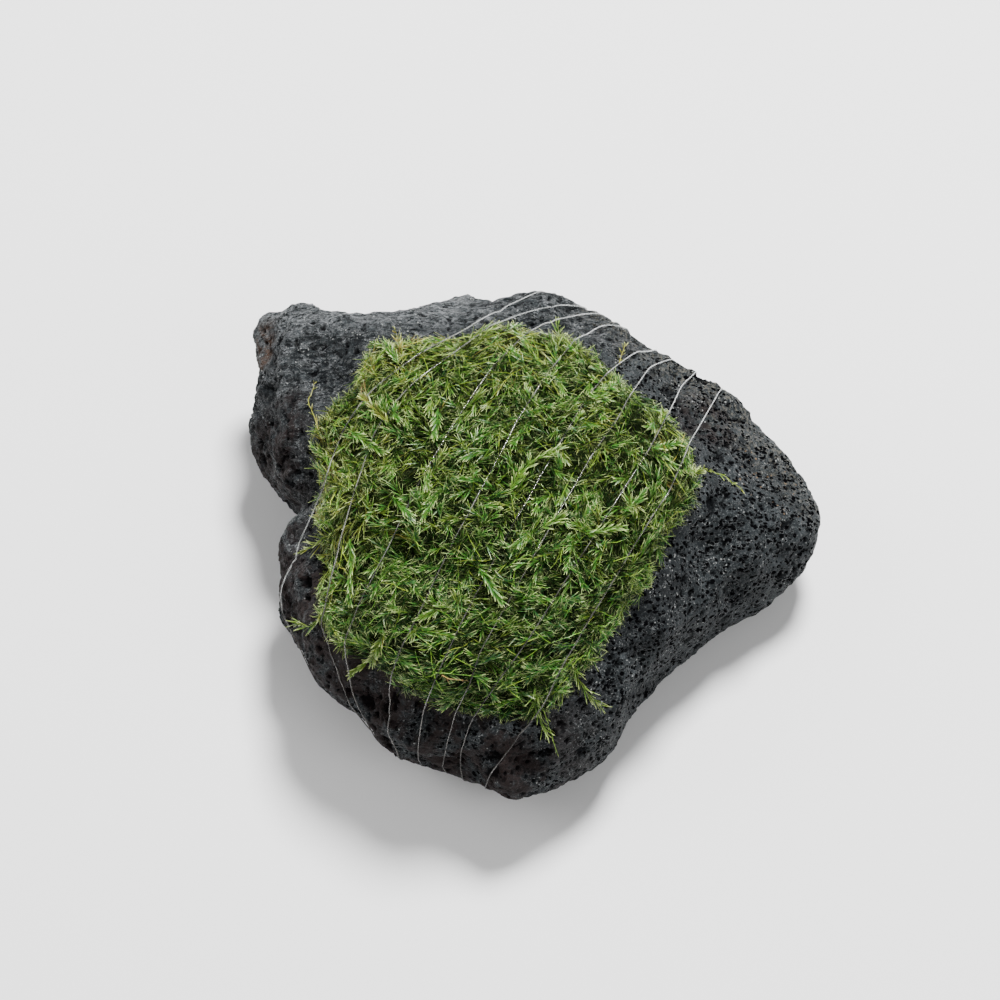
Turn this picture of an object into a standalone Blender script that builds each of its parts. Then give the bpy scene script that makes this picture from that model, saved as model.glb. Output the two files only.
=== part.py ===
"""A lava stone with a flat mat of moss on top, and the nylon thread that ties the mat down.

Sizes below are in millimetres and the model is in metres, with +Z up. The origin is on the surface
that the stone stands on, under the middle of its outline. +X is the stone's right and +Y its back.
"""

import math
import random
from bisect import bisect_right

import bmesh
import bpy
from mathutils import Vector, noise
from mathutils.bvhtree import BVHTree

MM = 0.001

# The stone's widest outline, anticlockwise from the right, as x, y and height
STONE_EDGE = (
    (38.5, 3.5, 11), (39.3, 6.5, 12), (37.7, 11, 13), (31.8, 19, 16), (25.3, 24.6, 18), (16.6, 28, 19),
    (9.5, 33.3, 21), (4.5, 35.5, 21), (-5.5, 37.6, 21), (-11, 36.6, 21), (-15, 34.4, 21),
    (-22, 32.7, 21), (-29.5, 32.5, 21), (-35.5, 37.2, 20.5), (-39.2, 36.8, 20), (-38.2, 30, 19),
    (-37.6, 26, 19), (-40, 21.5, 18), (-40, 17.8, 17.5), (-38.3, 15, 17), (-33.4, 10, 16),
    (-29.5, 5.5, 16), (-33.9, 1.5, 15.5), (-34.7, -4.4, 15), (-35, -7.8, 14.5), (-31.6, -12.7, 14),
    (-30, -15.6, 14), (-28.8, -18.6, 13.5), (-26.7, -21, 13.5), (-25, -23.3, 13), (-22.6, -26.6, 13),
    (-19.5, -28.5, 12.5), (-15.3, -29.9, 12), (-12, -31.3, 12), (-8, -32, 11), (-4.5, -34.8, 10.5),
    (-2, -35, 10), (5, -30.6, 10), (10, -27, 10), (12.5, -21, 10), (17.5, -15.5, 10), (23, -10.5, 10),
    (28, -5.5, 9), (35.3, -2, 9),
)
STONE_TOP = 29.5
STONE_SUBDIVISIONS = 6  # of the starting sphere
STONE_VOXEL = 0.9
STONE_SHARE_KEPT = 0.105  # of the faces, which leaves about 4400 triangles
TOP_ROUNDING = 2.6  # 2 is an ellipsoid, and more is a flatter top with a rounder rim
BASE_ROUNDING = 2.9
BASE_DEPTH = 4.0  # how far the underside would reach below the floor before it is cut flat

# Flattened places, as azimuth and elevation in degrees and the depth that is worn off there
STONE_FACETS = (
    (95, 55, 2), (140, 66, 1.5), (165, 50, 3), (190, 45, 2), (15, 58, 3), (48, 55, 2),
    (-45, 45, 3), (-85, 50, 2), (-140, -40, 3), (-175, -45, 2), (-100, -45, 2), (-20, -40, 2),
    (70, -45, 3), (120, -35, 2),
)

LUMP_WIDTHS = (13.0, 6.5)
LUMP_HEIGHTS = (1.5, 1.0)
LUMP_SHIFT = Vector((9, 4, 2))
OUTLINE_FACES = Vector((0, -0.5, 0.87))  # the direction from which STONE_EDGE is the outline
OUTLINE_RELIEF = 0.3  # share of a lump's height or a cavity's depth that is left along that outline
LEDGE_WIDTH = 4.2
LEDGE_HEIGHT = 0.7
CAVITY_COUNT = 110
CAVITY_RADII = (1.7, 3.4)
CAVITY_DEPTHS = (0.6, 1.7)
CAVITY_SEED = 7
WORN_BELOW = 5.0  # height below which the stone is rubbed smooth

# The largest broken-out places, as x, y, z, radius and depth
HOLLOWS = (
    (23.5, -3.5, 20.5, 5.5, 1.6),
    (23, 16, 21.5, 2.4, 1.5),
    (14, -18, 18, 2.6, 1.5),
    (33.5, -2.5, 15, 3, 1.3),
    (-36.5, 18, 17, 6.5, 1.4),
    (-30, 24, 26, 4, 0.9),
    (6, 32, 24, 4, 0.9),
    (-8, -29, 13, 4.5, 0.9),
    (-30, 32, 12, 6, 1.5),
    (28, 20, 9, 5, 1.4),
)

# The hollow under the stone that the thread passes through, between two flat feet
HOLLOW_DIRECTION = (0.45, 0.89)
HOLLOW_HALF_WIDTH = 16.5
HOLLOW_HEIGHT = 2.2

# The mat's outline, anticlockwise from the right, as x, y and height
MOSS_EDGE = (
    (22, 2.5, 25), (22.5, 6, 26), (21.5, 12.5, 26), (17, 17, 27), (11, 21.5, 28), (4.5, 25.5, 28),
    (-0.5, 27, 28), (-3.5, 29, 28), (-8, 27.5, 28), (-13, 25, 28), (-19, 25.5, 27.5),
    (-23, 23.5, 27.5), (-24.5, 20, 27.5), (-27.5, 17.5, 26.5), (-29.5, 12, 25), (-30.5, 6.5, 23),
    (-29.5, 2, 23), (-29, -4.5, 23), (-28.5, -10.5, 22), (-28, -13, 21), (-26, -17, 21),
    (-22.5, -19.5, 21), (-19.5, -21.5, 21), (-17, -24.5, 20), (-12.5, -27, 19), (-8, -27.5, 19),
    (-1.5, -27.5, 19), (1.5, -27.5, 19), (3, -25.5, 20), (7.5, -21.5, 21), (10.5, -17, 22),
    (13.5, -13.5, 23), (17.5, -7, 24), (19.5, -2.5, 25),
)
MOSS_CENTRE = Vector((-4, 0, 31))
HUB = Vector((-4, 0, 4))  # inside the stone, and every outer surface faces away from it
MOSS_THICKNESS = 4.2
MOSS_ROUNDING = 3.0
MOSS_SUBDIVISIONS = 4  # of the starting sphere
MOSS_SHARE_KEPT = 0.42
MOSS_ROOT = 2.0  # how far the pad's rim dips into the stone before it is cut
TUFT_WIDTH = 3.5
TUFT_HEIGHT = 0.5
GAP = 0.3  # between pieces that touch

THREAD_RADIUS = 0.08
THREAD_STEP = 1.5
THREAD_ROUNDS = 160  # of pulling, after which the thread lies still
THREAD_ROOM = THREAD_RADIUS + GAP  # from its middle to whatever it lies on
THREAD_BEND = 0.24  # the most that a left-out point may be away from a straight stretch
GRAZE_STEP = 0.4  # between the places where a straight stretch is looked at
REACH = 8.0  # the farthest that the slack thread starts inside a piece
SAME_PLACE = 1e-6
THREAD_UNDER = -1.5  # starting height below the stone, before the thread is pulled tight

# Where the thread is held on each turn, from the stone's back edge over the mat to its front edge
THREAD_TURNS = (
    (
        (3.5, 36, 21), (-2, 33.5, 25), (-8, 26.5, 30), (-17, 18.5, 34), (-22, 15, 33),
        (-25.5, 9.5, 32), (-28.5, 1.5, 28), (-32, -4.5, 20), (-34.5, -9.5, 14), (-29, -18.5, 12),
        (-24, -24.5, 10),
    ),
    (
        (7.5, 35, 21), (0.5, 30.5, 26.5), (-11.5, 19.5, 34), (-17.5, 13.5, 34), (-21.5, 8, 33),
        (-23.5, 1.5, 32), (-25, -5, 30), (-26.5, -11, 27.5), (-27.5, -18, 23), (-25.5, -21.5, 19),
        (-22.5, -26, 10),
    ),
    (
        (10, 34, 21), (2.5, 28.5, 27.5), (-4.5, 19.5, 34), (-8, 13.5, 34.5), (-11, 8, 34),
        (-15, 0, 34), (-19, -9, 32), (-22.5, -15, 29.5), (-24.5, -19.5, 24), (-24, -22.5, 18),
        (-20.5, -27.5, 10),
    ),
    (
        (14, 32, 20), (9.5, 29.5, 24), (5, 23, 31), (1.5, 16, 34), (-2.5, 8.5, 34.5), (-6, 0, 35),
        (-9.5, -7, 34.5), (-12.5, -13, 33), (-16, -20, 30), (-19, -25, 23), (-18.5, -27.5, 16),
        (-18, -29, 10),
    ),
    (
        (17.5, 29, 19), (14, 25.5, 25), (10.5, 19.5, 30), (7, 13.5, 33), (3, 5, 34.5),
        (-2, -5, 35), (-6.5, -14, 33), (-10.5, -21, 30), (-14.5, -27.5, 22), (-15.5, -29.5, 15),
        (-15.5, -30, 9),
    ),
    (
        (19.5, 27.5, 18), (15.5, 22.5, 25), (13.5, 17.5, 28), (11, 10, 33), (7.5, 3.5, 34.5),
        (2, -7, 34), (-3, -16.5, 33), (-7, -23, 29.5), (-10.5, -28.5, 22), (-12, -31, 15),
        (-12.5, -31, 9),
    ),
    (
        (22.5, 26.5, 17), (20, 21, 23), (18, 15.5, 26), (16, 7.5, 32), (12.5, 0, 34),
        (8.5, -6.5, 33), (4, -14, 32), (-0.5, -21, 30), (-5, -26, 26), (-8.5, -29, 21),
        (-10, -31.5, 15), (-10.5, -32, 9),
    ),
    (
        (26, 24, 16), (24.5, 20.5, 20), (23, 16, 23.5), (21, 9, 28.5), (19, 3, 31), (15, -4.5, 31),
        (11, -11.5, 29.5), (7, -18.5, 28), (3, -24, 25.5), (-2.5, -30.5, 19), (-5.5, -33, 15),
        (-7.5, -34, 9),
    ),
)
THREAD_START = (-3.5, 20, 2)
THREAD_END = (-0.5, -20, 1.5)


def clear_scene():
    for thing in list(bpy.data.objects):
        bpy.data.objects.remove(thing, do_unlink=True)


def add_collection(name):
    collection = bpy.data.collections.new(name)
    bpy.context.scene.collection.children.link(collection)
    return collection


def add_material(name, colour, roughness, alpha=1.0):
    material = bpy.data.materials.new(name)
    material.use_nodes = True
    shader = material.node_tree.nodes["Principled BSDF"]
    shader.inputs["Base Color"].default_value = (*colour, 1.0)
    shader.inputs["Roughness"].default_value = roughness
    shader.inputs["Metallic"].default_value = 0.0
    shader.inputs["Alpha"].default_value = alpha
    return material


def add_object(name, mesh, collection, material=None):
    thing = bpy.data.objects.new(name, mesh)
    collection.objects.link(thing)
    if material:
        mesh.materials.append(material)
    return thing


def ring_by_azimuth(points, centre):
    """The ring's points as vectors, sorted by their azimuth round the centre."""
    ring = []
    for point in points:
        azimuth = math.atan2(point[1] - centre[1], point[0] - centre[0])
        ring.append((azimuth, Vector(point)))
    return sorted(ring, key=lambda entry: entry[0])


def ring_point(ring, azimuth):
    """The point at an azimuth of a smooth closed curve through the ring's points."""
    count = len(ring)
    after = bisect_right([entry[0] for entry in ring], azimuth)
    stretch = []
    for step in range(-2, 2):
        turns, index = divmod(after + step, count)
        stretch.append((ring[index][0] + 2 * math.pi * turns, ring[index][1]))
    (angle0, point0), (angle1, point1), (angle2, point2), (angle3, point3) = stretch
    width = angle2 - angle1
    slope1 = (point2 - point0) * (width / (angle2 - angle0))
    slope2 = (point3 - point1) * (width / (angle3 - angle1))
    t = (azimuth - angle1) / width
    return (
        point1 * (2 * t**3 - 3 * t**2 + 1)
        + slope1 * (t**3 - 2 * t**2 + t)
        + point2 * (3 * t**2 - 2 * t**3)
        + slope2 * (t**3 - t**2)
    )


def rounded_block(direction, rounding):
    """How far out and how high a direction meets a block with rounded rims, each from 0 to 1."""
    out = math.hypot(direction.x, direction.y)
    up = abs(direction.z)
    size = (out**rounding + up**rounding) ** (1 / rounding)
    return out / size, up / size


def crown_height(x, y):
    """Height of the stone's top, which falls off to the right, the front and the far left."""
    right = 0.011 * max(0.0, x - 8) ** 2
    front = 0.008 * max(0.0, -8 - y) ** 2
    left = 0.006 * max(0.0, -15 - x) ** 2
    return STONE_TOP - right - front - left


def hollow_height(x, y):
    """Height of the underside, which is hollow in a band below the thread."""
    across = abs(x * HOLLOW_DIRECTION[1] - y * HOLLOW_DIRECTION[0])
    share = min(1.0, max(0.0, (HOLLOW_HALF_WIDTH + 2 - across) / 4))
    share = share * share * (3 - 2 * share)
    return -BASE_DEPTH + (BASE_DEPTH + HOLLOW_HEIGHT) * share


def stone_point(ring, direction):
    azimuth = math.atan2(direction.y, direction.x)
    edge = ring_point(ring, azimuth)
    upper = direction.z >= 0
    out, up = rounded_block(direction, TOP_ROUNDING if upper else BASE_ROUNDING)
    x = edge.x * out
    y = edge.y * out
    far = crown_height(x, y) if upper else hollow_height(x, y)
    return Vector((x, y, edge.z + (far - edge.z) * up))


def wear_facets(bm):
    """Presses the outermost stone in each facet's direction nearly flat."""
    for azimuth, elevation, depth in STONE_FACETS:
        azimuth = math.radians(azimuth)
        elevation = math.radians(elevation)
        flat = math.cos(elevation)
        normal = Vector((flat * math.cos(azimuth), flat * math.sin(azimuth), math.sin(elevation)))
        limit = max(vert.co.dot(normal) for vert in bm.verts) - depth
        for vert in bm.verts:
            over = vert.co.dot(normal) - limit
            if over > 0:
                vert.co -= normal * over * 0.8


def outline_calm(normal):
    """Share of a lump's or cavity's size that is left, which is small where the outline was traced."""
    inside = min(1.0, 2 * abs(normal.dot(OUTLINE_FACES)))
    return OUTLINE_RELIEF + (1 - OUTLINE_RELIEF) * inside


def roughness_at(vert):
    """How lumpy the stone is: worn underneath, smooth on the right and broken on the left."""
    if vert.co.z < WORN_BELOW:
        return 0.25
    return (1.0 - 0.012 * vert.co.x) * outline_calm(vert.normal)


def add_lumps(bm):
    """Lumps of two sizes with ledges between them."""
    bm.normal_update()
    moves = []
    for vert in bm.verts:
        lumps = noise.noise(vert.co / LUMP_WIDTHS[0]) * LUMP_HEIGHTS[0]
        lumps += noise.noise(vert.co / LUMP_WIDTHS[1] + LUMP_SHIFT) * LUMP_HEIGHTS[1]
        ledges = LEDGE_HEIGHT * (0.5 - 2 * abs(noise.noise(vert.co / LEDGE_WIDTH - LUMP_SHIFT)))
        moves.append(vert.normal * (lumps + ledges) * roughness_at(vert))
    for vert, move in zip(bm.verts, moves):
        vert.co += move


def press_in(verts, place, radius, depth):
    for vert in verts:
        away = (vert.co - place).length / radius
        if away < 1:
            vert.co -= vert.normal * depth * (1 - away * away)


def add_cavities(bm, rng):
    """Broken-out places, and burst bubbles wide enough to see from a step away."""
    for x, y, z, radius, depth in HOLLOWS:
        press_in(bm.verts, Vector((x, y, z)), radius, depth)
    verts = [vert for vert in bm.verts if vert.co.z > WORN_BELOW]
    middles = [(vert.co.copy(), outline_calm(vert.normal)) for vert in rng.sample(verts, CAVITY_COUNT)]
    for place, calm in middles:
        press_in(verts, place, rng.uniform(*CAVITY_RADII), rng.uniform(*CAVITY_DEPTHS) * calm)


def stone_mesh():
    """The stone's surface in metres, before it is evened out and cut flat underneath."""
    ring = ring_by_azimuth(STONE_EDGE, (0.0, 0.0))
    bm = bmesh.new()
    bmesh.ops.create_icosphere(bm, subdivisions=STONE_SUBDIVISIONS, radius=1.0)
    for vert in bm.verts:
        vert.co = stone_point(ring, vert.co)
    wear_facets(bm)
    for _ in range(3):
        bmesh.ops.smooth_vert(
            bm, verts=bm.verts, factor=0.5, use_axis_x=True, use_axis_y=True, use_axis_z=True
        )
    add_lumps(bm)
    add_cavities(bm, random.Random(CAVITY_SEED))
    bmesh.ops.scale(bm, vec=(MM, MM, MM), verts=bm.verts)
    mesh = bpy.data.meshes.new("stone")
    bm.to_mesh(mesh)
    bm.free()
    return mesh


def even_out(thing, face_width):
    """Makes the faces of like size and takes out any fold."""
    remesh = thing.modifiers.new("even_faces", "REMESH")
    remesh.mode = "VOXEL"
    remesh.voxel_size = face_width * MM
    remesh.use_smooth_shade = True


def thin_out(thing, share_kept):
    """Leaves out the faces that the shape needs least."""
    thin = thing.modifiers.new("fewer_faces", "DECIMATE")
    thin.decimate_type = "COLLAPSE"
    thin.ratio = share_kept


def add_cut(thing, cutter):
    cut = thing.modifiers.new(cutter.name, "BOOLEAN")
    cut.operation = "DIFFERENCE"
    cut.use_self = True
    cut.object = cutter


def as_cutter(thing):
    thing.hide_render = True
    thing.display_type = "WIRE"


def make_stone(parts, cutters):
    material = add_material("lava_stone", (0.035, 0.040, 0.042), 0.75)
    stone = add_object("stone", stone_mesh(), parts, material)
    even_out(stone, STONE_VOXEL)
    thin_out(stone, STONE_SHARE_KEPT)
    bpy.ops.mesh.primitive_cube_add(size=1, location=(0, 0, -5 * MM))
    floor = bpy.context.object
    floor.name = "floor_cutter"
    floor.dimensions = (120 * MM, 120 * MM, 10 * MM)
    for collection in list(floor.users_collection):
        collection.objects.unlink(floor)
    cutters.objects.link(floor)
    as_cutter(floor)
    add_cut(stone, floor)
    return stone


def tree_of(thing):
    return BVHTree.FromObject(thing, bpy.context.evaluated_depsgraph_get())


def ground_at(tree, place):
    """The stone's surface on the line from the hub through a place, and which way it faces there."""
    start = HUB * MM
    ground = tree.ray_cast(start, place * MM - start)[0]
    facing = Vector()
    for hit in tree.find_nearest_range(ground, 3 * MM):
        facing += hit[1]
    return ground / MM, facing.normalized()


def make_stone_cutter(cutters, stone):
    """The finished stone, grown by the gap that the mat keeps from it."""
    finished = stone.evaluated_get(bpy.context.evaluated_depsgraph_get())
    mesh = bpy.data.meshes.new_from_object(finished)
    normals = [vert.normal.copy() for vert in mesh.vertices]
    for vert, normal in zip(mesh.vertices, normals):
        vert.co += normal * GAP * MM
    cutter = add_object("stone_cutter", mesh, cutters)
    as_cutter(cutter)
    return cutter


def make_moss(parts, cutters, stone):
    """A lumpy pad over the mat's outline, cut out below by the stone's own surface."""
    tree = tree_of(stone)
    ring = ring_by_azimuth(MOSS_EDGE, MOSS_CENTRE)
    bm = bmesh.new()
    bmesh.ops.create_icosphere(bm, subdivisions=MOSS_SUBDIVISIONS, radius=1.0)
    for vert in bm.verts:
        edge = ring_point(ring, math.atan2(vert.co.y, vert.co.x))
        out, up = rounded_block(vert.co, MOSS_ROUNDING)
        ground, facing = ground_at(tree, MOSS_CENTRE.lerp(edge, out))
        if vert.co.z >= 0:
            tuft = TUFT_HEIGHT * noise.noise(ground / TUFT_WIDTH)
            height = (MOSS_THICKNESS + tuft) * up - MOSS_ROOT * (1 - up) ** 2
        else:
            height = -MOSS_ROOT * (1 + up)
        vert.co = ground + facing * height
    bmesh.ops.scale(bm, vec=(MM, MM, MM), verts=bm.verts)
    mesh = bpy.data.meshes.new("moss")
    bm.to_mesh(mesh)
    bm.free()
    mesh.shade_smooth()
    moss = add_object("moss", mesh, parts, add_material("moss", (0.10, 0.20, 0.03), 0.6))
    thin_out(moss, MOSS_SHARE_KEPT)
    add_cut(moss, make_stone_cutter(cutters, stone))
    return moss


def below(point):
    """The place under a point where the slack thread starts from, under the stone."""
    return Vector((point[0], point[1], THREAD_UNDER))


def thread_knots():
    """The slack thread's corners, each with whether the stone or the mat holds the thread there."""
    knots = [(Vector(THREAD_START), True)]
    for turn in THREAD_TURNS:
        knots.append((below(turn[0]), False))
        knots += [(Vector(point), True) for point in turn]
        knots.append((below(turn[-1]), False))
    knots.append((Vector(THREAD_END), True))
    return knots


def pushed_out(point, trees):
    """The point, moved off any piece that it is in or too near to."""
    for tree in trees:
        near, _, _, away = tree.find_nearest(point * MM)
        if away > REACH * MM:
            continue
        outward = point * MM - near
        facing = Vector()
        for hit in tree.find_nearest_range(near, SAME_PLACE):
            facing += hit[1]
        inside = outward.dot(facing) < 0
        if not inside and away > THREAD_ROOM * MM:
            continue
        way = facing.normalized() if inside else outward.normalized()
        from_hub = near / MM - HUB
        if way.dot(from_hub) > 0:
            point = near / MM + way * THREAD_ROOM
        else:
            # Only the mat's underside faces the hub, and the thread never runs below the mat
            point = point + from_hub.normalized() * THREAD_ROOM
    return point


def pulled_tight(knots, trees):
    """The thread's path once it is pulled tight: straight where it bridges, bent where it bears."""
    points = []
    held = []
    for (start, start_held), (end, _) in zip(knots, knots[1:]):
        steps = max(1, round((end - start).length / THREAD_STEP))
        points += [start.lerp(end, step / steps) for step in range(steps)]
        held += [start_held] + [False] * (steps - 1)
    points.append(knots[-1][0])
    last = len(points) - 1
    points[0] = pushed_out(points[0], trees)
    points[last] = pushed_out(points[last], trees)
    for _ in range(THREAD_ROUNDS):
        for i in range(1, last):
            pull = (points[i - 1] + points[i + 1]) / 2 - points[i]
            if held[i]:
                hits = [tree.find_nearest(points[i] * MM) for tree in trees]
                facing = min(hits, key=lambda hit: hit[3])[1]
                pull = facing * pull.dot(facing)
            points[i] = pushed_out(points[i] + pull, trees)
    return points


def straightened(points):
    """Leaves out the points that lie along a straight stretch."""
    if len(points) < 3:
        return points
    start, end = points[0], points[-1]
    along = (end - start).normalized()
    aside = [((point - start) - along * (point - start).dot(along)).length for point in points]
    farthest = max(range(len(points)), key=aside.__getitem__)
    if aside[farthest] < THREAD_BEND:
        return [start, end]
    return straightened(points[: farthest + 1])[:-1] + straightened(points[farthest:])


def kept_clear(points, trees):
    """Adds a point where a straight stretch would graze a piece, until no stretch does."""
    clear = [points[0]]
    waiting = points[:0:-1]
    while waiting:
        start, end = clear[-1], waiting[-1]
        steps = math.ceil((end - start).length / GRAZE_STEP)
        places = [start.lerp(end, step / steps) for step in range(1, steps)]
        moved = [pushed_out(place, trees) for place in places]
        shifts = [(new - old).length for new, old in zip(moved, places)]
        if shifts and max(shifts) > THREAD_BEND:
            waiting.append(moved[shifts.index(max(shifts))])
        else:
            clear.append(waiting.pop())
    return clear


def make_thread(parts, stone, moss):
    trees = [tree_of(stone), tree_of(moss)]
    route = kept_clear(straightened(pulled_tight(thread_knots(), trees)), trees)
    curve = bpy.data.curves.new("thread", "CURVE")
    curve.dimensions = "3D"
    curve.bevel_depth = THREAD_RADIUS * MM
    curve.bevel_resolution = 2
    curve.use_fill_caps = True
    spline = curve.splines.new("POLY")
    spline.points.add(len(route) - 1)
    for point, place in zip(spline.points, route):
        point.co = (*(place * MM), 1.0)
    material = add_material("nylon_thread", (0.80, 0.82, 0.80), 0.25, 0.6)
    return add_object("thread", curve, parts, material)


def centre(collections, stone):
    """Moves everything so that the origin is under the middle of the stone's box."""
    corners = stone.evaluated_get(bpy.context.evaluated_depsgraph_get()).bound_box
    for axis in (0, 1):
        ends = [corner[axis] for corner in corners]
        middle = (min(ends) + max(ends)) / 2
        for collection in collections:
            for thing in collection.objects:
                thing.location[axis] -= middle


def main():
    clear_scene()
    parts = add_collection("moss_on_stone")
    cutters = add_collection("cutters")
    stone = make_stone(parts, cutters)
    moss = make_moss(parts, cutters, stone)
    make_thread(parts, stone, moss)
    centre((parts, cutters), stone)


if __name__ == "__main__":
    main()
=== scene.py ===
"""A black lava stone with a flat mat of aquarium moss, tied down by one clear nylon thread.

Lengths are in millimetres unless a comment says otherwise, and MM turns them into metres. +X is
right, +Y is back and +Z is up, as in the photograph.
"""

import math
import random
from collections import namedtuple

import bmesh
import bpy
import numpy as np
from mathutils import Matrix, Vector, noise
from mathutils.bvhtree import BVHTree
from mathutils.kdtree import KDTree

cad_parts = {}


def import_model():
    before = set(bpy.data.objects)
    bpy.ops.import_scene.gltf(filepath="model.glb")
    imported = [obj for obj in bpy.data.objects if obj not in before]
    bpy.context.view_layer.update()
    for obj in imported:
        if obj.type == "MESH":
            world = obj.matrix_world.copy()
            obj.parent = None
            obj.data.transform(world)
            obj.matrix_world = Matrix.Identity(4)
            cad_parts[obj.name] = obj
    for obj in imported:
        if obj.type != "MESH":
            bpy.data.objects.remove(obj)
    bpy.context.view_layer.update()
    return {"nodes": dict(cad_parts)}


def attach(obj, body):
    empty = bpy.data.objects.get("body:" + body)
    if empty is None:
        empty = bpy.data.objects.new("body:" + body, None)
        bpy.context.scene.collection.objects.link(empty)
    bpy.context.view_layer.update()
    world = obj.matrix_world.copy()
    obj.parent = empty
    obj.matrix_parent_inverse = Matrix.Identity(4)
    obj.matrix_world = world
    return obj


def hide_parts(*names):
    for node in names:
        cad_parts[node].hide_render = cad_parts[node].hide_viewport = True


MM = 0.001
SAME_PLACE = 1e-6  # in metres

# View
LOOKED_AT = Vector((0.63, -0.99, 15.0))
CAMERA_DISTANCE = 450.0
CAMERA_ELEVATION = 60.0
CAMERA_ASIDE = (-5.1, 6.5)  # how far the camera sits right of and above the middle of its view
CAMERA_LENS = 119.9

# Stone
STONE_VOXEL = 0.68
STONE_SMOOTHING = 2
STONE_SWELL = 0.12  # gives back what the smoothing wears off
GRAIN_SIZE = 1.4
GRAIN_HEIGHT = 0.25
BROKEN_BACK = (17, 28)  # where the stone goes from smooth to broken, along y
BROKEN_SLANT = 0.25  # how much farther back that is for each millimetre to the right
BROKEN_LEFT = (-26, -34)  # the same at the left, along x
LEDGE_SIZES = (4.0, 1.3, 1.0)  # along x, y and z
LEDGE_HEIGHT = 0.42
LEDGE_CREST = 0.35  # the share of that height at a crest, from which the cracks fall away
LEDGE_FALL = 1.8
BURIED = 0.9  # stone nearer than this to the mat's solid is hidden by it
UNDERSIDE = 5.0  # below this height, the stone's faces that look down are out of sight
LOOKS_DOWN = -0.5  # along z, of a face's normal
PIT_SEED = 3
PIT_RAGGED = 0.7
PIT_RAGGED_SIZE = 0.5
PIT_DEPTHS = (0.6, 1.4)  # as shares of the depth below
PIT_SIZES = (
    # how many, smallest and largest radius, depth as a share of the radius
    (1500, 0.28, 0.46, 1.00),
    (150, 0.50, 0.80, 0.85),
    (24, 0.90, 1.50, 0.60),
)

# Thread
RING_EDGE = 0.12  # longer than an edge round the thread's solid, shorter than one along it
THREAD_RADIUS = 0.08
THREAD_STEP = 0.5
THREAD_ROUNDS = 8
THREAD_SLACK = 0.35  # the farthest that smoothing moves it from its route
THREAD_DRAWN_IN = 0.22  # how much nearer than its solid it lies, because the solids keep a gap
THREAD_NEAR = 0.7  # from a surface, where it is drawn in
THREAD_OFF_STONE = 0.10
THREAD_OFF_MAT = 0.14

# Moss
HUB = Vector((-3.37, -0.99, 4.0))  # inside the stone, under the middle of the mat
MAT_MIDDLE = (-4.0, -1.0, 28.0)
LEAF_REACH = 1.3  # how far leaves stick out past the end of their stem
MAT_FLAT = 12.0  # from the hub's axis, where the mat's form starts to be drawn in by that
FAR = 60.0  # from the hub, outside the stone and the mat
SPRIG_STEP = 0.55
BULGE = 0.9  # how far the tallest tufts stand above the mat's solid, between the thread's turns
PRESSED = (-0.4, 1.2)  # from the thread, where the moss starts to rise and where it is free of it
LYING_CLEAR = 0.2  # height of a stray sprig above the bare stone
DROOP = 0.05  # of a sprig past the mat's rim, for each of its steps
TIPPING = 0.4  # how much such a sprig turns to the stone's own slope at each step

# How a sprig is leafed: angles off the stem in degrees, and rise as a share of a leaf's length
Habit = namedtuple("Habit", "angles spacing leaf_length leaf_width stem_radius rise")
HABITS = {
    "tangle": Habit((8, 42), 0.24, 2.05, 0.140, 0.045, 0.22),
    "feather": Habit((12, 38), 0.15, 1.65, 0.23, 0.070, 0.12),
    "frond": Habit((25, 60), 0.42, 0.90, 0.17, 0.085, 0.15),
    "hair": Habit((15, 45), 0.95, 1.00, 0.14, 0.080, 0.15),
}
# Habits that keep near to a hue of their own, and how much brighter they are
OWN_TINTS = {"feather": (0.40, 0.12), "hair": (0.56, 0.25)}
SWAY = 0.16  # how much a sprig's heading changes at each step, in radians
OVERHANG = (0.0, 0.6)  # how far a sprig may reach past the mat's rim
STEM_TAPER = 0.6
FINE_LEAF = ((0.28, 1.0), (0.68, 0.70))  # how far along the leaf, and how wide it is there
PLAIN_LEAF = ((0.38, 1.0),)
LEAF_KEEL = 0.45  # its depth as a share of half the leaf's width
LEAF_LENGTHS = (0.6, 1.25)  # as shares of the length that its habit gives
LEAF_WIDTHS = (0.7, 1.25)
LEAF_CURL = (0.04, 0.12)  # mean and spread, as shares of its length
LEAF_TWIST = 0.8
LEAF_CLOSING = 0.35  # how much less the leaves stand off the stem at its tip
TIP_LEAF = (0.75, 0.8, 0.05)  # length and width as shares of the habit's, and curl

# Shade is painted light and shade, darker deep in the mat and at a leaf's foot and lighter for leaves that
# stand high: it goes from 0, nearly black, to 1, and hue from 0, blue-green, through yellow-green to 1,
# brown
# painted shade towards a leaf's foot, and painted light for leaves that stand high
FOOT_SHADE = 0.35  # at a leaf's foot, as a share of that at its tip
SHADE_SPREADS = (0.13, 0.24)  # from sprig to sprig, and from leaf to leaf
SHADE_RISE = 0.10  # for each millimetre that a leaf stands above the mat's solid
HUE_SPREADS = (0.10, 0.06)  # from sprig to sprig, and from leaf to leaf
HUE_MIDDLE = 0.44
HUE_PATCHES = ((8.0, 0.26), (2.6, 0.22))  # how wide, and how much they change the hue
PATCH_SHIFT = Vector((5, 5, 5))  # keeps one size of patch from lining up with the next
STEM_HUE = 0.15  # more than that of its leaves
STEM_SHADE = 0.8  # as a share of its leaves'
STEM_ALONG = 0.3  # coloured like a leaf this far from its foot
# Areas of the mat that differ: axis, where the change starts, where it is full, how much
# painted light: the back of the mat is lighter, as if lit from above and behind; the left rim and the front
# are made lighter too
LIGHTER_AREAS = (("x", -20, -28, 0.20), ("y", 8, 20, 0.28), ("y", -10, -20, 0.11))
YELLOWER_AREAS = (("y", -8, -20, -0.10), ("x", -19, -28, 0.20), ("y", 12, 24, 0.14))

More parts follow.
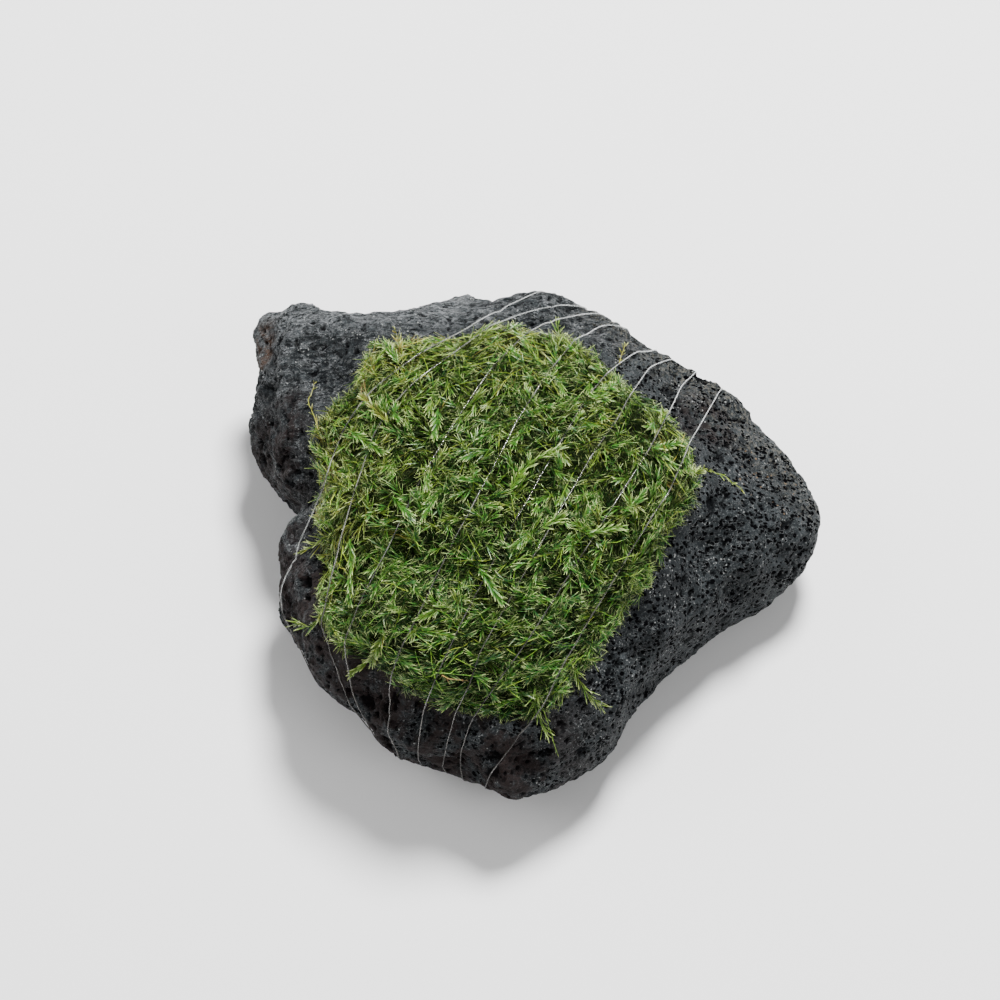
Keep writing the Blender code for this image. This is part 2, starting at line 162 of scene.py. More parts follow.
GAP_SIZES = ((1.9, 1.0), (0.7, 0.4))  # width of the noise, and its weight
GAP_BELOW = -0.24  # of the noise, where the mat is open down to its dark lower leaves
# painted shade along the thread where it presses the mat, fading out between these distances
GROOVE = (0.25, 0.85)  # from the thread, between which the leaves get brighter
GROOVE_SHADE = 0.60
COMBED_FRONT = (-7, -17)  # along y, between which more and more sprigs lie level
COMBED_SHARE = 0.75
COMBED_SPREAD = (0.1, 0.38)  # mean and spread of their angle off the level, in radians

# From the stone up: how many sprigs, their lengths, how deep their roots and how high their tips are,
# their painted shade and habits, whether gaps open the layer, and whether its stems show
Layer = namedtuple("Layer", "name sprigs lengths depths tips shade habits has_gaps has_stems")
TOP_HABITS = ("tangle", "tangle", "feather", "hair", "hair")
LAYERS = (
    Layer("moss_under", 1300, (3.0, 6.0), (1.6, 2.8), (-1.8, -1.0), 0.06, ("tangle",), False, False),
    Layer("moss_middle", 1650, (3.0, 7.5), (0.8, 1.8), (-1.0, -0.3), 0.12, ("tangle",), True, False),
    Layer("moss_upper", 1050, (3.5, 8.0), (0.4, 1.4), (-0.6, 0.0), 0.39, ("tangle",), True, False),
    Layer("moss_top", 860, (3.0, 8.5), (0.3, 1.2), (-0.2, 0.4), 0.84, TOP_HABITS, True, True),
)
LAYER_SEED = 40

# Sprigs that stand out from the rest, as habit, hue, height over what they lie on, and route
SHOOTS = (
    ("feather", 0.62, 0.5, ((19, 2.5, 29), (21, 3.5, 27), (22.5, 5.5, 25))),
    ("frond", 0.70, 0.5, ((21, 3.5, 27), (22.5, 5.5, 25), (24, 6.5, 23), (25.3, 6, 22), (27.8, 4.8, 20.6))),
    ("hair", 0.80, 0.9, ((-28.5, 10, 27), (-29.7, 15.8, 24.3), (-29.1, 19.2, 24.2))),
    ("feather", 0.42, 0.8, ((-17.9, 17.3, 32.3), (-19, 20.1, 31.1), (-21.6, 23.6, 28))),
    ("tangle", 0.80, 0.7, ((-17.3, 17.7, 32.4), (-18.3, 21.6, 30.5), (-18.7, 25.8, 27.2))),
    ("feather", 0.76, 0.9, ((-19, 7.9, 32.4), (-22.5, 12.4, 31.4))),
    ("tangle", 0.62, 0.8, ((3.5, 21, 31.4), (3.4, 27, 26.9))),
    ("frond", 0.84, 0.8, ((11.5, 21.2, 26.2), (12.5, 25.2, 24.9))),
    ("tangle", 0.60, 0.8, ((-26, -15, 25), (-28.4, -16, 21), (-30.6, -13.4, 18))),
    ("tangle", 0.70, 0.6, ((-26, -5.5, 26), (-29.8, -4.6, 20.3))),
    ("feather", 0.60, 0.6, ((-18.5, -20, 27), (-20.7, -22.4, 25), (-22.6, -21.7, 19.9))),
    ("tangle", 0.55, 0.6, ((0, -26, 24), (0.4, -29.5, 21.8), (1.4, -29.8, 18.1))),
    ("hair", 0.60, 0.5, ((0.4, -27, 23), (2.8, -31.3, 15.8))),
    ("tangle", 0.60, 0.6, ((4, -22, 24), (6.5, -25, 20), (8.5, -25.8, 17.3))),
    ("feather", 0.36, 1.1, ((-12.5, 9.1, 33), (-12.9, 5, 33.4))),
    ("feather", 0.40, 1.1, ((-18.2, -3.8, 32.8), (-16.2, -6.7, 32.7))),
    ("feather", 0.44, 1.1, ((-23.8, -7.9, 29.6), (-23.3, -15.6, 27.3))),
    ("feather", 0.38, 1.1, ((-7.1, -14.1, 32.6), (-4.5, -17.9, 31.5))),
    ("feather", 0.46, 1.1, ((-23.7, 7.3, 30.8), (-19.6, 3.4, 32.2))),
    ("feather", 0.50, 1.1, ((0.6, -8.9, 33.9), (3.2, -7.1, 33.3))),
    ("feather", 0.52, 1.1, ((-3, -3, 34), (-0.5, 1, 34), (3, 2.5, 33.5))),
    ("feather", 0.48, 1.1, ((7, -9, 33), (11, -7.5, 32))),
    ("feather", 0.42, 1.0, ((14.5, 4, 31), (18.5, 6.5, 28))),
    ("hair", 0.98, 0.9, ((-11.8, -26.2, 26.9), (-9.4, -26.4, 26.4))),
)
SHOOTS_SEED = 60
SHOOT_SHADE = 0.95
SHOOT_STEM_SHADE = 0.9
SHOOT_CLEAR = 0.4  # height over the bare stone
RIM_SPRIGS = 130
RIM_OVERHANG = (0.0, 1.3)
RIM_ROOTED = 2.5  # inside the rim
RIM_LENGTH = 3.0
RIM_SLANT = 0.6
RIM_DEPTH = 0.4
RIM_TIPS = (-0.9, 0.2)
RIM_SHADE = 0.72
RIM_STEM_SHADE = 0.6
RIM_LEVEL = Vector((0, 0, 18))  # above the hub, where the rim is looked for
CORE_VOXEL = 0.8
CORE_SMOOTHING = 1
CORE_WIDTH = 0.95  # as shares of the mat's solid
CORE_HEIGHT = 0.58
CORE_FOOT = 0.5  # from the stone, up to where the solid's underside is left as it is


def sample_range(rng, ends):
    return rng.uniform(ends[0], ends[1])


def limited(value):
    return min(1.0, max(0.0, value))


def smoothstep(low, high, value):
    share = limited((value - low) / (high - low))
    return share * share * (3 - 2 * share)


class Graph:
    """A Principled material and short calls for the nodes that feed it."""

    def __init__(self, name):
        self.material = bpy.data.materials.new(name)
        self.material.use_nodes = True
        self.tree = self.material.node_tree
        self.shader = self.tree.nodes["Principled BSDF"]
        self.place = self.tree.nodes.new("ShaderNodeTexCoord").outputs["Object"]

    def feed(self, socket, value):
        if isinstance(value, bpy.types.NodeSocket):
            self.tree.links.new(value, socket)
        elif socket.type == "RGBA" and len(value) == 3:
            socket.default_value = (*value, 1.0)
        else:
            socket.default_value = value

    def surface(self, **values):
        """Sets or links the shader's own sockets, such as Base_Color."""
        for name, value in values.items():
            self.feed(self.shader.inputs[name.replace("_", " ")], value)

    def noise_node(self, size, detail, roughness, place):
        """Cloudy variation whose largest blobs are about size millimetres across."""
        node = self.tree.nodes.new("ShaderNodeTexNoise")
        self.feed(node.inputs["Vector"], place or self.place)
        node.inputs["Scale"].default_value = 1 / (size * MM)
        node.inputs["Detail"].default_value = detail
        node.inputs["Roughness"].default_value = roughness
        return node

    def noise(self, size, detail=4.0, roughness=0.55, place=None):
        return self.noise_node(size, detail, roughness, place).outputs["Fac"]

    def vector_math(self, operation, first, second):
        node = self.tree.nodes.new("ShaderNodeVectorMath")
        node.operation = operation
        self.feed(node.inputs[0], first)
        self.feed(node.inputs[1], second)
        return node.outputs["Vector"]

    def stretched(self, scales):
        """The place, squeezed or stretched along each axis."""
        return self.vector_math("MULTIPLY", self.place, scales)

    def warped(self, amount, size, place=None):
        """The place, pushed about by noise, so that round cells become ragged."""
        push = self.noise_node(size, 3.0, 0.6, place).outputs["Color"]
        push = self.vector_math("SUBTRACT", push, (0.5, 0.5, 0.5))
        push = self.vector_math("MULTIPLY", push, (2 * amount * MM,) * 3)
        return self.vector_math("ADD", place or self.place, push)

    def cells(self, size, place=None):
        """Distance to the nearest of scattered points, and a random number that each point has."""
        node = self.tree.nodes.new("ShaderNodeTexVoronoi")
        self.feed(node.inputs["Vector"], place or self.place)
        node.inputs["Scale"].default_value = 1 / (size * MM)
        parts = self.tree.nodes.new("ShaderNodeSeparateColor")
        self.feed(parts.inputs[0], node.outputs["Color"])
        return node.outputs["Distance"], parts.outputs[0]

    def spots(self, size, widest, share_filled, place=None):
        """1 inside scattered spots of many widths, as shares of a cell's size, and 0 between them."""
        distance, chance = self.cells(size, place)
        width = self.window(chance, 1 - share_filled, 1.0, -0.1, widest)
        return self.window(self.math("SUBTRACT", distance, width), 0.05, -0.05)

    def near(self, centre, reach, core=0.4):
        """1 within a share of the reach of a place in millimetres, and 0 past the reach."""
        node = self.tree.nodes.new("ShaderNodeVectorMath")
        node.operation = "DISTANCE"
        self.feed(node.inputs[0], self.place)
        self.feed(node.inputs[1], Vector(centre) * MM)
        return self.window(node.outputs["Value"], reach * MM, core * reach * MM)

    def math(self, operation, first, second=0.0):
        node = self.tree.nodes.new("ShaderNodeMath")
        node.operation = operation
        self.feed(node.inputs[0], first)
        self.feed(node.inputs[1], second)
        return node.outputs[0]

    def product(self, first, *others):
        for other in others:
            first = self.math("MULTIPLY", first, other)
        return first

    def window(self, value, low, high, to_low=0.0, to_high=1.0):
        """Rises smoothly as the value goes from low to high."""
        node = self.tree.nodes.new("ShaderNodeMapRange")
        node.interpolation_type = "SMOOTHSTEP"
        self.feed(node.inputs["Value"], value)
        for name, end in (("From Min", low), ("From Max", high), ("To Min", to_low), ("To Max", to_high)):
            node.inputs[name].default_value = end
        return node.outputs[0]

    def ramp(self, value, stops):
        node = self.tree.nodes.new("ShaderNodeValToRGB")
        self.feed(node.inputs[0], value)
        elements = node.color_ramp.elements
        while len(elements) < len(stops):
            elements.new(1.0)
        for element, (position, colour) in zip(elements, stops):
            element.position = position
            element.color = (*colour, 1.0)
        return node.outputs[0]

    def mix(self, share, first, second, blend="MIX"):
        """Blends two colours, which are the mix node's seventh and eighth inputs."""
        node = self.tree.nodes.new("ShaderNodeMix")
        node.data_type = "RGBA"
        node.blend_type = blend
        self.feed(node.inputs[0], share)
        self.feed(node.inputs[6], first)
        self.feed(node.inputs[7], second)
        return node.outputs[2]

    def axes(self):
        """The place's x, y and z in millimetres."""
        node = self.tree.nodes.new("ShaderNodeSeparateXYZ")
        self.feed(node.inputs[0], self.stretched((1 / MM,) * 3))
        return node.outputs

    def attribute(self, name):
        node = self.tree.nodes.new("ShaderNodeAttribute")
        node.attribute_name = name
        return node

    def bump(self, height, depth, under=None):
        node = self.tree.nodes.new("ShaderNodeBump")
        self.feed(node.inputs["Height"], height)
        node.inputs["Distance"].default_value = depth * MM
        if under:
            self.feed(node.inputs["Normal"], under)
        return node.outputs[0]


def stone_skin(graph, broken, streaks):
    """Dull black, with streaks, and where the stone is broken, painted shade in dark lines and painted
    glints in pale crinkly lines.
    """
    skin = graph.ramp(
        graph.noise(2.4, 7, 0.62),
        ((0.32, (0.005, 0.006, 0.007)), (0.50, (0.014, 0.017, 0.0185)), (0.68, (0.034, 0.039, 0.042))),
    )
    pale = graph.window(graph.noise(0.26, 3, 0.7), 0.52, 0.66, 0.0, 0.8)
    skin = graph.mix(pale, skin, (0.090, 0.097, 0.098))
    # painted shade: dark lines along the streaks where the stone is broken, for the shadows under its ledges
    ledge_shade = graph.product(broken, graph.window(streaks, 0.54, 0.44), 0.85)
    skin = graph.mix(ledge_shade, skin, (0.004, 0.005, 0.006))
    # painted glints: thin pale crinkly lines on the wet ridges where the stone is broken
    off_middle = graph.math("ABSOLUTE", graph.math("SUBTRACT", streaks, 0.5))
    patchy = graph.window(graph.noise(2.2, 4, 0.65), 0.47, 0.62)
    ridge_glints = graph.product(broken, patchy, graph.window(off_middle, 0.030, 0.008), 0.8)
    return graph.mix(ridge_glints, skin, (0.230, 0.240, 0.248))


def stone_stains(graph, skin, shaded_sides):
    """The skin with painted glints along its back edge, painted shade right of the mat, dust, rust, and
    painted shade with a warm painted reflection on the left side and front, each where it lies.
    """
    x, y, z = graph.axes()
    # painted glints: a lighter streaky band along the upper back edge
    back = graph.product(graph.window(y, 24.5, 30.5), graph.window(x, -3, -12), graph.window(z, 15, 20))
    back_glints = graph.window(graph.noise(0.5, 5, 0.75, graph.stretched((0.4, 1.2, 1.2))), 0.44, 0.60)
    skin = graph.mix(graph.product(back, back_glints, 0.48), skin, (0.300, 0.315, 0.325))
    # painted shade: darker in the recess to the right of the mat
    hollow_shade = graph.near((19.0, -12.8, 24.0), 10.0)
    skin = graph.mix(graph.product(hollow_shade, 0.55), skin, (0.006, 0.007, 0.008))

    outward = graph.math("ADD", graph.product(x, 0.63), graph.product(y, 0.78))
    rim = graph.product(graph.window(outward, 24, 31), graph.window(z, 10, 15), graph.window(x, 2, 12))
    dusty = graph.product(rim, graph.window(graph.noise(0.55, 5, 0.75), 0.50, 0.60), 0.50)
    skin = graph.mix(dusty, skin, (0.150, 0.140, 0.112))
    horn = graph.near((-37.0, 29.0, 18.0), 5.0)
    rusty = graph.product(horn, graph.window(graph.noise(2.5, 5), 0.40, 0.55), 0.80)
    skin = graph.mix(rusty, skin, (0.052, 0.029, 0.018))
    # painted shade with a warm painted reflection: dark brown on the left side and the front
    skin = graph.mix(graph.product(shaded_sides, 0.85), skin, (0.0160, 0.0098, 0.0088))
    brown = graph.product(graph.near((23.6, 15.0, 21.5), 6.5), graph.window(graph.noise(1.5, 4), 0.35, 0.60))
    return graph.mix(graph.product(brown, 0.7), skin, (0.013, 0.007, 0.006))


def stone_material():
    """Black lava: its skin, stains and painted light, pale flecks that are partly painted glints, and dense
    ragged pits painted dark as shade, fewer where the stone is broken and on its shaded sides.
    """
    graph = Graph("lava")
    x, y, _ = graph.axes()
    broken = graph.math(
        "MAXIMUM",
        graph.window(graph.math("SUBTRACT", y, graph.product(x, BROKEN_SLANT)), 18, 26),
        graph.window(x, -26, -33),
    )
    streaks = graph.noise(0.60, 4, 0.7, graph.stretched((0.35, 1.2, 1.4)))
    # where the painted shade with a warm painted reflection lies, in patches on the left side and the front
    side = graph.product(graph.window(x, -27, -35), graph.window(y, 21, 15))
    front = graph.window(graph.math("ADD", graph.product(x, 0.55), y), -16, -27)
    front = graph.product(front, graph.window(x, 10, -4, 0.25, 1.0))
    patches = graph.window(graph.noise(4, 6, 0.65), 0.40, 0.55)
    shaded_sides = graph.product(graph.math("MAXIMUM", side, front), patches)
    skin = stone_stains(graph, stone_skin(graph, broken, streaks), shaded_sides)

    # pale flecks in the stone, which also stand in as painted glints
    specks_and_glints = graph.spots(0.34, 0.36, 0.42, graph.warped(0.16, 0.3))
    crowded = graph.window(graph.noise(3.0, 4, 0.7), 0.40, 0.62, 0.12, 0.9)
    unshaded = graph.window(shaded_sides, 0.0, 1.0, 1.0, 0.15)
    skin = graph.mix(graph.product(specks_and_glints, crowded, unshaded), skin, (0.310, 0.318, 0.310))
    tan = graph.spots(0.50, 0.34, 0.40, graph.warped(0.25, 0.6))
    tan = graph.product(tan, graph.near((31.5, 7.5, 17.0), 8.0), 0.8)
    skin = graph.mix(tan, skin, (0.190, 0.118, 0.062))

    wider = graph.stretched((0.75, 1.1, 1.0))
    fine_cells = graph.warped(0.32, 0.30, wider)
    fine = graph.spots(0.46, 0.60, 0.95, fine_cells)
    lit_rims = graph.product(graph.spots(0.46, 0.74, 0.95, fine_cells), crowded, unshaded, 0.75)
    skin = graph.mix(lit_rims, skin, (0.180, 0.190, 0.193))
    small = graph.spots(0.72, 0.44, 0.62, graph.warped(0.30, 0.5, wider))
    large = graph.spots(1.30, 0.28, 0.30, graph.warped(0.60, 1.0))
    pits = graph.math("MAXIMUM", graph.math("MAXIMUM", fine, small), large)
    fewer_pits = graph.math("MAXIMUM", graph.product(broken, 0.45), graph.product(shaded_sides, 0.50))
    pits = graph.product(pits, graph.math("SUBTRACT", 1.0, fewer_pits))
    # painted shade: the shader's pits and the mesh's burst bubbles are painted nearly black
    base = graph.mix(pits, skin, (0.0020, 0.0021, 0.0025))
    deep = graph.window(graph.attribute("pit").outputs["Fac"], 0.15, 0.85, 0.0, 0.75)
    base = graph.mix(deep, base, (0.0025, 0.0025, 0.0030))

    grain = graph.bump(graph.math("ADD", graph.noise(0.32, 4, 0.7), graph.product(broken, streaks)), 0.30)
    holes = graph.bump(graph.math("SUBTRACT", 1.0, pits), 0.22, grain)
    rough = graph.window(graph.noise(1.2, 4), 0.3, 0.7, 0.40, 0.62)
    sheen = graph.window(graph.math("MAXIMUM", pits, deep), 0.0, 0.8, 0.5, 0.0)
    graph.surface(Base_Color=base, Roughness=rough, Normal=holes, IOR=1.15, Specular_IOR_Level=sheen)
    return graph.material


def leaf_material():
    """Thin wet leaves: each has its own hue and a shade of painted light and shade, is pale at its tip, and
    the shaded ones don't shine.
    """
    graph = Graph("moss_leaves")
    leaf = graph.tree.nodes.new("ShaderNodeSeparateColor")
    graph.feed(leaf.inputs[0], graph.attribute("leaf").outputs["Color"])
    along, hue, shade = leaf.outputs
    tint = graph.ramp(
        hue,
        (
            (0.00, (0.008, 0.045, 0.022)),
            (0.22, (0.018, 0.090, 0.018)),
            (0.40, (0.050, 0.195, 0.018)),
            (0.55, (0.085, 0.175, 0.018)),
            (0.70, (0.160, 0.225, 0.026)),
            (0.85, (0.210, 0.185, 0.030)),
            (1.00, (0.190, 0.100, 0.036)),
        ),
    )
    tint = graph.mix(graph.window(along, 0.50, 1.0, 0.0, 0.75), tint, (0.660, 0.740, 0.320))
    tint = graph.mix(graph.window(graph.noise(0.45, 3), 0.48, 0.75, 0.0, 0.35), tint, (0.290, 0.390, 0.050))
    # painted shade: leaves of low shade, deep in the mat, at their feet and along the thread, are nearly
    # black
    tint = graph.mix(graph.window(shade, 0.85, 0.05, 0.0, 0.97), tint, (0.0035, 0.0058, 0.0028))
    # painted light: the leaves of highest shade are brightened, as if lit
    tint = graph.mix(graph.window(shade, 0.83, 1.0), tint, (2.15, 2.15, 2.15), "MULTIPLY")
    rough = graph.window(graph.noise(0.8, 3), 0.3, 0.7, 0.24, 0.42)
    ripple = graph.bump(graph.noise(0.12, 3), 0.02)
    sheen = graph.window(shade, 0.15, 0.75, 0.0, 0.95)
    graph.surface(Base_Color=tint, Roughness=rough, Normal=ripple, IOR=1.22, Specular_IOR_Level=sheen)
    return graph.material


def core_material():
    """The matted stems deep in the mat, painted nearly black as the shade down there."""
    graph = Graph("moss_core")
    tint = graph.ramp(
        graph.noise(0.9, 6, 0.7),
        ((0.35, (0.002, 0.004, 0.001)), (0.55, (0.008, 0.013, 0.003)), (0.75, (0.020, 0.020, 0.006))),
    )
    graph.surface(Base_Color=tint, Roughness=graph.window(graph.noise(1.0, 3), 0.3, 0.7, 0.7, 0.95))
    graph.surface(Normal=graph.bump(graph.noise(0.4, 5, 0.7), 0.3), IOR=1.25)
    return graph.material


def nylon_material():
    """Clear nylon that is milky in places, with painted shade and painted glints where it runs through the
    moss, and darker painted shade in front.
    """
    graph = Graph("nylon")
    clear = graph.ramp(graph.noise(4.0, 3), ((0.35, (0.62, 0.65, 0.64)), (0.65, (0.90, 0.91, 0.90))))
    # painted shade where the thread runs through the moss, with lighter patches as painted glints
    moss_shade_and_glints = graph.ramp(graph.noise(2.5, 3), ((0.40, (0.10, 0.10, 0.085)), (0.60, (0.58, 0.58, 0.53))))
    # painted shade in front, darker and brownish
    front_shade = graph.mix(0.7, moss_shade_and_glints, (0.060, 0.045, 0.040))
    in_moss = graph.near(MAT_MIDDLE, 30.0, 0.75)
    in_front = graph.window(graph.axes()[1], -6, -14)
    graph.surface(
        Base_Color=graph.mix(in_front, graph.mix(in_moss, clear, moss_shade_and_glints), front_shade),
        Roughness=graph.window(graph.noise(1.5, 3), 0.3, 0.7, 0.06, 0.18),
        IOR=1.53,
        Transmission_Weight=0.78,
    )
    return graph.material


def new_piece(name, data, replaced):
    piece = bpy.data.objects.new(name, data)
    bpy.context.scene.collection.objects.link(piece)
    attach(piece, "root")
    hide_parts(replaced)
    return piece


def even_mesh(node, voxel, smoothing):
    """A closed mesh over a solid, with faces of one size and softened edges."""
    thing = bpy.data.objects.new(node.name + "_even", node.data.copy())
    bpy.context.scene.collection.objects.link(thing)
    weld = thing.modifiers.new("weld", "WELD")
    weld.merge_threshold = SAME_PLACE
    remesh = thing.modifiers.new("even_faces", "REMESH")
    remesh.mode = "VOXEL"
    remesh.voxel_size = voxel * MM
    soften = thing.modifiers.new("soften", "SMOOTH")
    soften.factor = 0.5
    soften.iterations = smoothing
    mesh = bpy.data.meshes.new_from_object(thing.evaluated_get(bpy.context.evaluated_depsgraph_get()))
    bpy.data.objects.remove(thing)
    return mesh


def solid_tree(*meshes):
    """A search tree over the triangles of several meshes, in millimetres, and whose each triangle is."""
    verts, faces, owners = [], [], []
    for index, mesh in enumerate(meshes):
        first = len(verts)
        verts += [vert.co / MM for vert in mesh.vertices]
        mesh.calc_loop_triangles()
        for triangle in mesh.loop_triangles:
            faces.append([first + corner for corner in triangle.vertices])
            owners.append(index)
    return BVHTree.FromPolygons(verts, faces), owners


def refine_where_seen(bm, moss_tree):
    """Splits the stone's faces in four, other than below the mat and underneath."""
    seen = set()
    for face in bm.faces:
        middle = face.calc_center_median() / MM
        underneath = middle.z < UNDERSIDE and face.normal.z < LOOKS_DOWN
        if not underneath and moss_tree.find_nearest(middle)[3] > BURIED:
            seen.add(face)
    edges = [edge for edge in bm.edges if all(face in seen for face in edge.link_faces)]
    bmesh.ops.subdivide_edges(bm, edges=edges, cuts=1, use_grid_fill=True)


def grain_at(place):
    """Relief outwards from the stone's general form: grain everywhere, and ledges where it is broken."""
    relief = STONE_SWELL + GRAIN_HEIGHT * noise.fractal(place / GRAIN_SIZE, 1.0, 2.0, 4)
    slanted = place.y - BROKEN_SLANT * place.x
    broken = max(smoothstep(*BROKEN_BACK, slanted), smoothstep(*BROKEN_LEFT, place.x))
    if broken > 0:
        layered = Vector([value / size for value, size in zip(place, LEDGE_SIZES)])
        relief += broken * LEDGE_HEIGHT * (LEDGE_CREST - LEDGE_FALL * abs(noise.noise(layered)))
    return relief


def pit_depths(places, rng):
    """How deep burst bubbles go at each place, and the same as a share of the bubble's depth."""
    tree = KDTree(len(places))
    for index, place in enumerate(places):
        tree.insert(place, index)
    tree.balance()
    ragged = [1 + PIT_RAGGED * noise.noise(place / PIT_RAGGED_SIZE) for place in places]
    depths = [0.0] * len(places)
    shares = [0.0] * len(places)
    for count, small, large, depth_share in PIT_SIZES:
        for _ in range(count):
            centre = places[rng.randrange(len(places))]
            radius = rng.uniform(small, large)
            deepest = radius * depth_share * sample_range(rng, PIT_DEPTHS)
            for _, index, away in tree.find_range(centre, radius):
                share = max(0.0, 1 - (ragged[index] * away / radius) ** 3)
                depths[index] = max(depths[index], share * deepest)
                shares[index] = max(shares[index], share)
    return depths, shares


def make_stone(nodes):
    mesh = even_mesh(nodes["stone"], STONE_VOXEL, STONE_SMOOTHING)
    moss_tree, _ = solid_tree(nodes["moss"].data)
    bm = bmesh.new()
    bm.from_mesh(mesh)
    refine_where_seen(bm, moss_tree)
    bm.normal_update()
    places = [vert.co / MM for vert in bm.verts]
    depths, shares = pit_depths(places, random.Random(PIT_SEED))
    pit = bm.verts.layers.float.new("pit")
    for vert, place, depth, share in zip(bm.verts, places, depths, shares):
        vert[pit] = share
        vert.co += vert.normal * (grain_at(place) - depth) * MM
        vert.co.z = max(vert.co.z, 0.0)
    bm.to_mesh(mesh)
    bm.free()
    mesh.shade_smooth()
    mesh.materials.clear()
    mesh.materials.append(stone_material())
    new_piece("lava_stone", mesh, "stone")
    return mesh


def thread_middles(node):
    """The middle of each ring of the thread's solid, in order along the thread."""
    bm = bmesh.new()
    bm.from_mesh(node.data)
    bmesh.ops.remove_doubles(bm, verts=bm.verts, dist=SAME_PLACE)
    ring_of = {}
    rings = []
    for first in bm.verts:
        if first in ring_of:
            continue
        ring = [first]
        ring_of[first] = len(rings)
        for vert in ring:
            for edge in vert.link_edges:
                other = edge.other_vert(vert)
                if other not in ring_of and edge.calc_length() < RING_EDGE * MM:
                    ring_of[other] = len(rings)
                    ring.append(other)
        rings.append(ring)
    beside = [set() for _ in rings]
    for edge in bm.edges:
        one, two = (ring_of[vert] for vert in edge.verts)
        if one != two:
            beside[one].add(two)
            beside[two].add(one)
    order = [next(index for index, others in enumerate(beside) if len(others) == 1)]
    onward = beside[order[0]]
    while onward:
        order += onward
        onward = beside[order[-1]] - {order[-2]}
    middles = []
    for index in order:
        ring = rings[index]
        middles.append(sum((vert.co for vert in ring), Vector()) / (len(ring) * MM))
    bm.free()
    return middles


def resampled(points, step):
    """Places about a step apart along a line of points."""
    corners = np.array([tuple(point) for point in points])
    runs = np.linalg.norm(np.diff(corners, axis=0), axis=1)
    along = np.concatenate([[0.0], np.cumsum(runs)])
    spots = np.linspace(0.0, along[-1], max(2, round(along[-1] / step) + 1))
    columns = [np.interp(spots, along, corners[:, axis]) for axis in range(3)]
    return [Vector(place) for place in zip(*columns)]


def kept_off(point, tree, room):
    """The point, moved off a surface that it is in or too near to."""
    near, facing, _, away = tree.find_nearest(point)
    outward = point - near
    if outward.dot(facing) < 0:
        return near + facing * room
    if away < room:
        return near + outward.normalized() * room
    return point


def drawn_in(point, trees):
    """The point, moved towards a surface that it runs along."""
    for tree in trees:
        near, _, _, away = tree.find_nearest(point)
        if THREAD_DRAWN_IN < away < THREAD_NEAR:
            point = point.lerp(near, THREAD_DRAWN_IN / away)
    return point


def make_thread(nodes, stone_mesh):
    """The thread's own route, drawn smooth and laid on the finished stone and the mat."""
    stone_tree, _ = solid_tree(stone_mesh)
    mat_tree, _ = solid_tree(nodes["moss"].data)
    rough_tree, _ = solid_tree(nodes["stone"].data)
    middles = resampled(thread_middles(nodes["thread"]), THREAD_STEP)
    route = [drawn_in(point, (rough_tree, mat_tree)) for point in middles]
    points = list(route)
    for _ in range(THREAD_ROUNDS):
        for index in range(1, len(points) - 1):
            middle = (points[index - 1] + points[index + 1]) / 2
            point = kept_off(points[index].lerp(middle, 0.5), stone_tree, THREAD_OFF_STONE)
            point = kept_off(point, mat_tree, THREAD_OFF_MAT)
            moved = point - route[index]
            if moved.length > THREAD_SLACK:
                point = route[index] + moved.normalized() * THREAD_SLACK
            point.z = max(point.z, THREAD_RADIUS)
            points[index] = point
    curve = bpy.data.curves.new("nylon_thread", "CURVE")
    curve.dimensions = "3D"
    curve.bevel_depth = THREAD_RADIUS * MM
    curve.bevel_resolution = 2
    curve.use_fill_caps = True
    spline = curve.splines.new("POLY")
    spline.points.add(len(points) - 1)
    for knot, point in zip(spline.points, points):
        knot.co = (*(point * MM), 1.0)
    curve.materials.append(nylon_material())
    new_piece("nylon_thread", curve, "thread")
    return points


Joint = namedtuple("Joint", "place facing heading height")


class Ground:
    """The outer surface of stone and mat together, found on lines through the hub."""

    def __init__(self, stone_mesh, mat, thread_points):
        self.tree, self.owners = solid_tree(stone_mesh, mat)
        self.thread = KDTree(len(thread_points))
        for index, point in enumerate(thread_points):
            self.thread.insert(point, index)
        self.thread.balance()

    def at(self, place):
        """The surface point over or under a place, which way it faces, and whether the mat is there."""
        outward = (place - HUB).normalized()
        point, facing, index, _ = self.tree.ray_cast(HUB + outward * FAR, -outward)
        on_mat = self.owners[index] == 1
        if not on_mat:
            facing = (facing + outward).normalized()
        return point, facing, on_mat

    def thread_away(self, place):
        return self.thread.find(place)[2]

    def groove_shade(self, place):
        """How much painted shade darkens the leaves, which is most where the thread presses them."""
        return GROOVE_SHADE * (1 - smoothstep(*GROOVE, self.thread_away(place)))

    def bulge(self, place):
        """How far the mat stands above its solid: least where the thread presses it."""
        return BULGE * smoothstep(*PRESSED, self.thread_away(place))


def turned_flat(heading, facing):
    """The heading, turned to lie along a surface."""
    return (heading - facing * heading.dot(facing)).normalized()


def grow(ground, start, heading, length, rng, depth, tip, overhang):
    """A sprig's stem as joints, from its root in the mat to its tip, which may pass the mat's rim."""
    stem = []
    walker = start
    outside = 0.0
    steps = max(3, round(length / SPRIG_STEP))
    for step in range(steps + 1):
        point, facing, on_mat = ground.at(walker)
        if on_mat:
            share = step / steps
            height = (ground.bulge(point) + tip) * share - depth * (1 - share)
            place = point + facing * height
            walker = point
        else:
            outside += SPRIG_STEP
            if outside > overhang or not stem:
                break
            facing = (stem[-1].facing + facing * TIPPING).normalized()
            place = stem[-1].place + turned_flat(heading, facing) * SPRIG_STEP - facing * DROOP * step
            short = LYING_CLEAR - (place - point).dot(facing)
            place += facing * max(0.0, short)
            height = 0.0
            walker = place
        heading = turned_flat(heading, facing)
        stem.append(Joint(place, facing, heading, height))
        heading = (heading + facing.cross(heading) * rng.gauss(0, SWAY)).normalized()
        walker = walker + heading * SPRIG_STEP
    return stem


